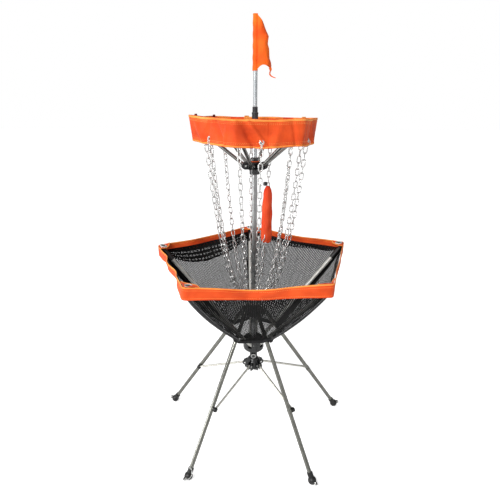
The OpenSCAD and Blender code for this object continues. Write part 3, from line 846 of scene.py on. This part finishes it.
def chain_of_links(name, line, turn, rng):
    """Links along a line, each turned a quarter from the last, with a little chance in how they lie."""
    line = list(line)
    lengths = run_lengths(line)
    count = int(lengths[-1] // LINK_PITCH)
    pitch = lengths[-1] / count
    points, faces = [], []
    drift = turn
    for k in range(count):
        at = (k + 0.5) * pitch
        j = int(np.clip(np.searchsorted(lengths, at) - 1, 0, len(line) - 2))
        centre = line[j].lerp(line[j + 1], (at - lengths[j]) / (lengths[j + 1] - lengths[j]))
        along = (line[j + 1] - line[j]).normalized()
        flat = along.orthogonal().normalized()
        drift += rng.uniform(-0.13, 0.13)
        quarter = math.pi / 2 if k % 2 else 0
        turned = Matrix.Rotation(drift + quarter + rng.uniform(-0.16, 0.16), 3, along) @ flat
        tilt = Matrix.Rotation(rng.uniform(-0.05, 0.05), 3, turned)
        along = tilt @ along
        basis = np.array([along, turned.cross(along), turned]).T
        faces.append(LINK_FACES + len(LINK_POINTS) * k)
        points.append(LINK_POINTS @ basis.T + np.array(centre))
    return add_links(name, np.concatenate(points), np.concatenate(faces))


def fold_with_chains(obj):
    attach(obj, "root")
    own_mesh(obj)


HOOK_SCALE = 0.72


def make_hooks():
    """A smaller link through each grommet, that the outer chain hangs from."""
    up = Vector((0, 0, 1))
    for i in range(TOP_ARMS):
        out = radial(side_azimuth(i))
        centre = grommet_centre(i) + out * 0.0022 - up * 0.0085
        basis = np.array([up, out, up.cross(out)]).T
        points = (LINK_POINTS * HOOK_SCALE) @ basis.T + np.array(centre)
        hook = add_links(f"chain_hook_{i + 1}", points, LINK_FACES)
        fold_with_band(hook, round(grommet_share(i)))


def make_chains():
    rng = random.Random(7)
    outer = [outer_chain_azimuth(i) for i in range(TOP_ARMS)]
    inner = [TOP_AZ + TOP_STEP * i for i in range(TOP_ARMS)]
    inner[POUCH_CHAIN] = POUCH_CHAIN_AZ
    for kind, top, azimuths in (("outer", OUTER_END, outer), ("inner", INNER_END, inner)):
        for i, azimuth in enumerate(azimuths):
            turn = rng.uniform(0, math.pi)
            chain = chain_of_links(f"chain_{kind}_{i + 1}", chain_line(azimuth, top), turn, rng)
            fold_with_chains(chain)
            if i == 0:
                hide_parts(f"chains_{kind}")


make_chains()
make_hooks()


# ---- Pouch beside an inner chain ----
POUCH_SIDE = -0.0105
POUCH_TOP, POUCH_LOW = (0.151, 1.050), (0.136, 0.812)
POUCH_LENGTH = 0.238
# Distances up the bag and its radius there
POUCH_OUTLINE = (
    (0.0, 0.0120), (0.003, 0.0165), (0.010, 0.0195), (0.024, 0.0222), (0.060, 0.0226), (0.120, 0.0214),
    (0.175, 0.0200), (0.205, 0.0180), (0.222, 0.0140), (0.232, 0.0090), (0.238, 0.0060),
)


def pouch_wrinkle(a, h, r):
    """How far the bag's wall moves at angle a and height h: gathers at both ends, long folds between them."""
    gather = 0.14 * math.exp(-h / 0.016) * math.sin(7 * a + 0.8)
    gather += 0.13 * math.exp(-(POUCH_LENGTH - h) / 0.026) * math.sin(9 * a)
    right_fold = -0.0042 * math.exp(-(((a - 5.35 - 0.25 * math.sin(9 * h)) / 0.13) ** 2))
    left_fold = -0.0024 * math.exp(-(((a - 3.9 + 1.6 * h) / 0.20) ** 2))
    pucker = 0.0008 * math.sin(60 * h + 2.2 * math.sin(a)) + 0.0006 * math.sin(95 * h + 3 * a)
    return gather * r + (right_fold + left_fold + pucker) * min(1, r / 0.015)


def make_pouch():
    high, low = (in_plane(POUCH_PLANE, *end, POUCH_SIDE) for end in (POUCH_TOP, POUCH_LOW))
    axis = (high - low).normalized()
    side = sideways(POUCH_PLANE)
    front = side.cross(axis)
    heights, radii = zip(*POUCH_OUTLINE)
    rings, around = 97, 72
    points, uvs = [], []
    for share in np.linspace(0, 1, rings):
        h = POUCH_LENGTH * (0.3 * (1 - math.cos(math.pi * share)) + 0.4 * share)
        r = float(np.interp(h, heights, radii))
        for j in range(around):
            a = 2 * math.pi * j / around
            wall = r + pouch_wrinkle(a, h, r)
            points.append(low + axis * h + (side * math.cos(a) + front * math.sin(a) * 0.92) * wall)
            uvs.append((a * 0.02, h))
    pouch = add_mesh("pouch_bag", points, tube_faces(rings, around), POUCH, uvs)
    pouch.modifiers.new("smooth", "SUBSURF").levels = 1
    apply_modifiers(pouch)
    fold_with_chains(pouch)
    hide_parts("pouch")
    make_cord_lock(high - axis * 0.001 + side * 0.011, axis, side)


def make_cord_lock(low, axis, side):
    profile = (
        (0, 0.0045), (0.001, 0.0078), (0.004, 0.0088), (0.011, 0.0088), (0.0145, 0.0075), (0.016, 0.004),
    )
    lock = lathe("pouch_cord_lock", low, axis, profile, HUB, sides=24, start=side)
    fold_with_chains(lock)
    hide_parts("pouch_toggle")


make_pouch()


# ---- Flag ----
# The pennant's free edge, as (height, distance out), and its tail, as (share of its length, x, height)
FLAG_EDGE = (
    (1.468, 0.050), (1.478, 0.053), (1.486, 0.0545), (1.494, 0.053), (1.505, 0.0475), (1.520, 0.0465),
    (1.534, 0.0455), (1.548, 0.0405), (1.560, 0.0415), (1.575, 0.0435), (1.592, 0.036), (1.606, 0.031),
    (1.617, 0.0275), (1.627, 0.024), (1.634, 0.018), (1.640, 0.008),
)
TAIL_LINE = (
    (0, 0.0500, 1.4790), (0.18, 0.0530, 1.4710), (0.36, 0.0505, 1.4650), (0.52, 0.0495, 1.4585),
    (0.68, 0.0535, 1.4530), (0.84, 0.0610, 1.4490), (1.0, 0.0700, 1.4460),
)


def flag_bottom(x):
    """Height of the pennant's lower edge at reach x: it arches up between the sleeve and the free corner."""
    share = min(max((x - 0.008) / 0.046, 0), 1)
    return FLAG_LOW_Z + 0.0125 * math.sin(math.pi * share ** 0.85)


def flag_point(a, b):
    """a runs from the sleeve to the free edge, b from the top to the bottom."""
    reach = float(np.interp(FLAG_TIP_Z + (FLAG_LOW_Z - FLAG_TIP_Z) * b, *zip(*FLAG_EDGE)))
    x = 0.0055 + (reach - 0.0055) * (1 - (1 - a) ** 1.15)
    low = flag_bottom(x)
    z = FLAG_TIP_Z + (low - FLAG_TIP_Z) * b
    droop = -0.010 * a * a * (1 - b) ** 3
    curl = 0.016 * max(0, a - 0.72) ** 1.4 / 0.168 * (0.6 + 0.4 * math.sin(9 * b))
    belly = -0.0062 * math.sin(math.pi * a * 1.25 + 0.3 * math.sin(7 * b)) * (0.45 + 0.55 * b)
    ripple = 0.0022 * math.sin(15 * b + 5 * a) * a
    return Vector((x, -0.0075 + belly + ripple + curl, z + droop))


def sleeve_point(a, b):
    """The hem round the pole, from the seam's front side, round by the left, to its back side."""
    angle = math.radians(-38 - 284 * a)
    z = FLAG_TIP_Z + 0.0022 - b * (FLAG_SLEEVE_H + 0.001)
    r = 0.0089 + 0.0006 * math.sin(31 * b + 2 * a * math.pi) * math.sin(math.pi * a) + 0.0008 * (b - 0.3) ** 2
    return Vector((r * math.cos(angle) * 1.02, r * math.sin(angle) * 0.98, z))


def tail_point(a, b):
    """The frayed tail at the pennant's free corner; a runs across it and b along it."""
    shares, xs, heights = zip(*TAIL_LINE)
    x, z = np.interp(b, shares, xs), np.interp(b, shares, heights)
    middle = Vector((x, -0.003 + 0.005 * math.sin(3.4 * b), z))
    width = 0.0095 * (1 - 0.8 * b)
    lean = 0.35 + 0.9 * b
    return middle + Vector((width * math.cos(lean), 0.003, width * math.sin(lean))) * (a - 0.5)


def make_flag():
    pennant = surface("flag_pennant", flag_point, np.linspace(0, 1, 33), np.linspace(0, 1, 61), FLAG, 0.0006)
    sleeve = surface("flag_sleeve", sleeve_point, np.linspace(0, 1, 41), np.linspace(0, 1, 40), FLAG, 0.0008)
    tail = surface("flag_tail", tail_point, np.linspace(0, 1, 5), np.linspace(0, 1, 25), FLAG, 0.0006)
    cap_points = [Vector((0, 0, FLAG_TIP_Z + 0.0028)), *[sleeve_point(a, 0) for a in np.linspace(0, 1, 41)]]
    last = len(cap_points) - 1
    cap_faces = [(0, k % last + 1, k) for k in range(1, last + 1)]
    cap = add_mesh("flag_cap", cap_points, cap_faces, FLAG, [(p.x, p.y) for p in cap_points])
    toward_front = Vector((0, -1, 0))
    seam_path = [flag_point(0.05, b) + toward_front * 0.0006 for b in np.linspace(0.02, 0.98, 60)]
    seam = stitches("flag_seam", seam_path, [toward_front] * 60, POUCH, pitch=0.004, size=0.0009)
    hem_line = [flag_point(0.985, b) for b in np.linspace(0, 1, 60)]
    hem = sweep("flag_free_hem", hem_line, oval(0.0012, 0.0034), FLAG)
    parts = [sleeve, tail, cap, seam, hem]
    for piece in [pennant, *parts]:
        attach(piece, "flag_mast")
    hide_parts("flag")


make_flag()


# ---- Small metal trim ----
def make_foot_eyes():
    """Metal eyelets on both sides of each foot's tie eye."""
    for i in range(BASE_ARMS):
        azimuth = LEG_AZ + BASE_STEP * i
        for end, side in (("in", -0.0034), ("out", 0.0034)):
            centre = in_plane(azimuth, *TOE_EYE, LEG_SIDE + side)
            name = f"foot_eyelet_{i + 1}_{end}"
            eyelet = ring_shape(name, centre, sideways(azimuth), 0.0050, 0.0017, RIVET, flat=0.6)
            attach(eyelet, f"leg_{i + 1}")


make_foot_eyes()


def make_knuckles():
    """Black caps over the struts' pivots at the legs, on the side away from the leg."""
    for i in range(BASE_ARMS):
        azimuth = LEG_AZ + BASE_STEP * i
        centre = in_plane(azimuth, *STRUT_END, STRUT_SIDE)
        profile = [(-0.0058, 0.0076), (-0.0050, 0.0088), (0.0034, 0.0096), (0.0066, 0.0082), (0.0080, 0.0050)]
        knuckle = lathe(f"strut_knuckle_{i + 1}", centre, sideways(azimuth), profile, FOOT)
        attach(knuckle, f"strut_{i + 1}")


make_knuckles()


def make_button_centre():
    """Dark dished centre of the release button."""
    profile = [(0.0, 0.0050), (0.0006, 0.0062), (0.0014, 0.0060), (0.0010, 0.0030)]
    centre = lathe("release_button_centre", Vector(BUTTON_FACE), (0, -1, 0), profile, HUB)
    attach(centre, "release_button")


make_button_centre()


# ---- Floor and light ----
FLOOR_GLOW = 0.55
# The room's light in a direction is its dot product with this, plus the even part
ROOM_SLOPE, ROOM_EVEN = (-0.46, -0.26, 0.24), 0.44


def make_stage():
    """White paper floor, which glows for the camera alone, and the lights."""
    paper = Shader("floor_paper", Roughness=0.9, Emission_Color=(1, 1, 1, 1))
    seen = paper.add("ShaderNodeLightPath").outputs["Is Camera Ray"]
    paper.tree.links.new(paper.math("MULTIPLY", seen, FLOOR_GLOW), paper.bsdf.inputs["Emission Strength"])
    paper.colour(paper.ramp(paper.noise(3, 2), (0.3, 0.93), (0.7, 0.96)))
    size = 30
    corners = [(-size, -size, 0), (size, -size, 0), (size, size, 0), (-size, size, 0)]
    add_mesh("floor", corners, [(0, 1, 2, 3)], paper.material, smooth=False)
    make_world()
    area_light("key", (-1.9, -3.0, 3.0), (0, 0, 0.8), 94, 1.2)
    area_light("fill", (2.8, -1.6, 1.4), (0, 0, 0.8), 9, 1.5)
    area_light("side", (-2.6, -0.9, 0.7), (0, 0, 0.5), 16, 0.6)


def make_world():
    """Soft room light that is brighter from the left and above; the camera itself sees plain white."""
    world = bpy.data.worlds.new("studio")
    bpy.context.scene.world = world
    world.use_nodes = True
    tree = world.node_tree
    background = tree.nodes["Background"]
    direction = tree.nodes.new("ShaderNodeTexCoord").outputs["Generated"]
    lit = tree.nodes.new("ShaderNodeVectorMath")
    lit.operation = "DOT_PRODUCT"
    tree.links.new(direction, lit.inputs[0])
    lit.inputs[1].default_value = ROOM_SLOPE
    level = tree.nodes.new("ShaderNodeMath")
    level.operation = "ADD"
    tree.links.new(lit.outputs["Value"], level.inputs[0])
    level.inputs[1].default_value = ROOM_EVEN
    seen = tree.nodes.new("ShaderNodeLightPath").outputs["Is Camera Ray"]
    either = tree.nodes.new("ShaderNodeMath")
    either.operation = "MAXIMUM"
    tree.links.new(level.outputs[0], either.inputs[0])
    tree.links.new(seen, either.inputs[1])
    tree.links.new(either.outputs[0], background.inputs["Strength"])
    background.inputs["Color"].default_value = (1, 1, 1, 1)


make_stage()
